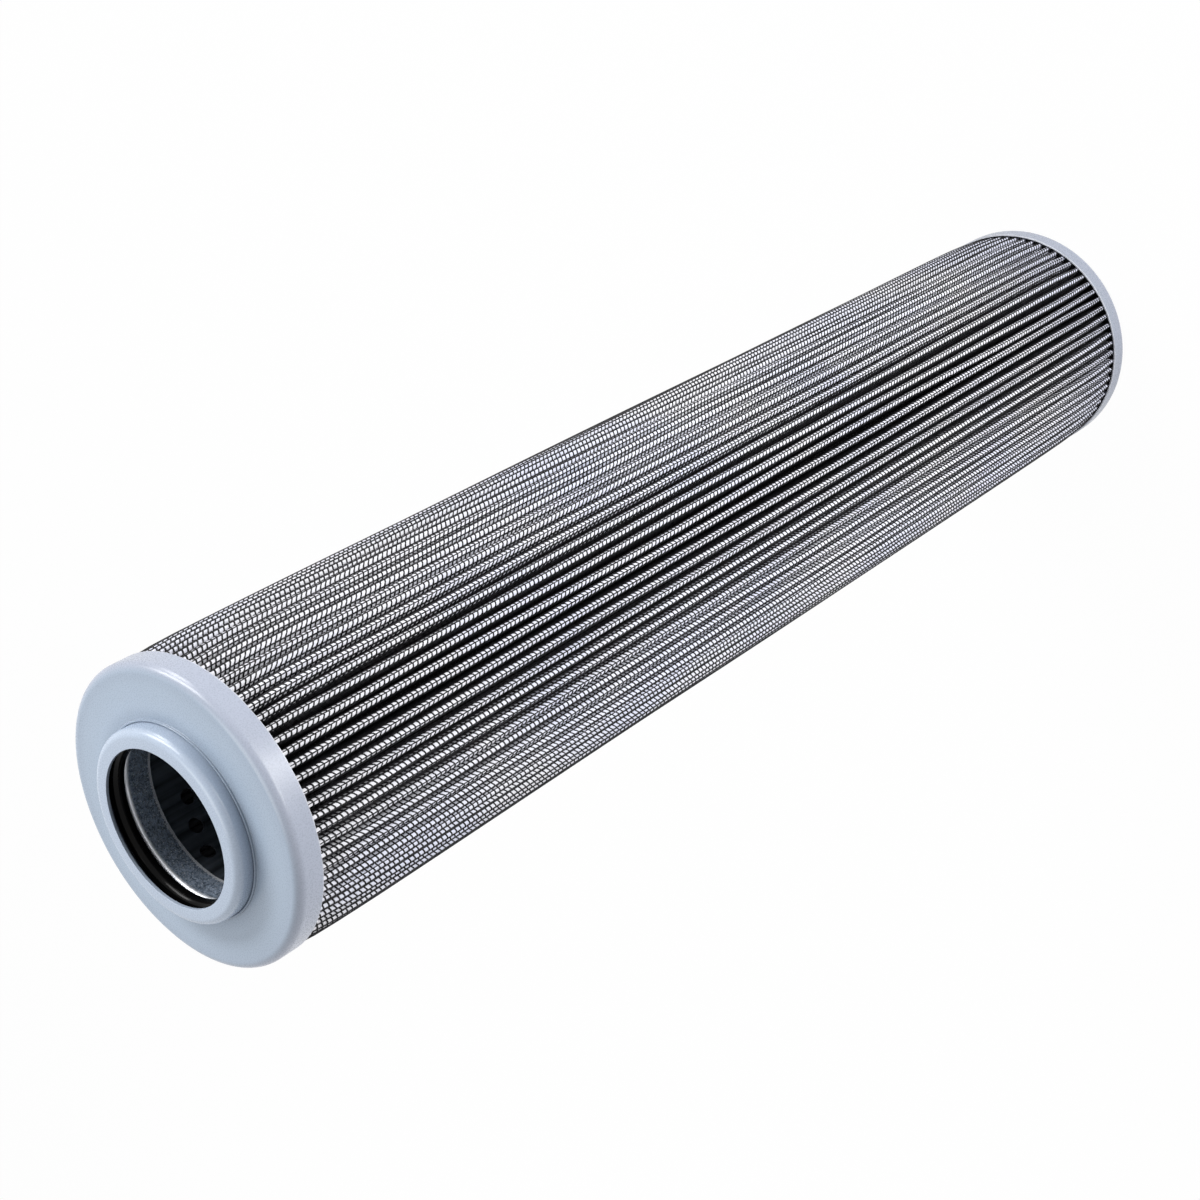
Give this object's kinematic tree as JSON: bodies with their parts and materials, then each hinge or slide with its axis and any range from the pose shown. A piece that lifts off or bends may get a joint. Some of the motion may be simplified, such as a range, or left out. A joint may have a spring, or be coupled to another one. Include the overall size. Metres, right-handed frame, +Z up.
{
  "type": "hydraulic filter",
  "caption": "Tall round filter element: white pleats under black wire mesh, pressed grey-blue end caps, and an open neck with an inner seal ring that fits over a spigot.",
  "frame": {"origin": "centre of the closed end cap's outer face, on the element's axis, which is the lowest point", "axes": "+Z runs up the element's axis from the closed cap to the open neck; +X and +Y are radial"},
  "size_m": [0.078, 0.078, 0.398],
  "materials": {
    "cap_paint": "satin light grey-blue paint",
    "seal_rubber": "glossy black rubber",
    "galvanised_steel": "dull galvanised",
    "dark_steel": "dark, dull",
    "plain_wire": "plain woven wire",
    "white_fleece": "matt white fleece",
    "filter_mat": "matt glass fibre mat",
    "coated_wire": "satin black coating on woven wire",
    "dark_adhesive": "cured dark resin"
  },
  "bodies": {
    "root": {"closed_end_cap": "cap_paint", "open_end_cap": "cap_paint", "neck_ring": "cap_paint", "seal_ring": "seal_rubber", "seal_sleeve": "galvanised_steel", "core_tube": "dark_steel", "inner_mesh": "plain_wire", "inner_fleece": "white_fleece", "filter_media": "filter_mat", "outer_fleece": "white_fleece", "outer_mesh": "coated_wire", "seam_adhesive": "dark_adhesive", "closed_end_adhesive": "dark_adhesive", "open_end_adhesive": "dark_adhesive"}
  },
  "joints": []
}
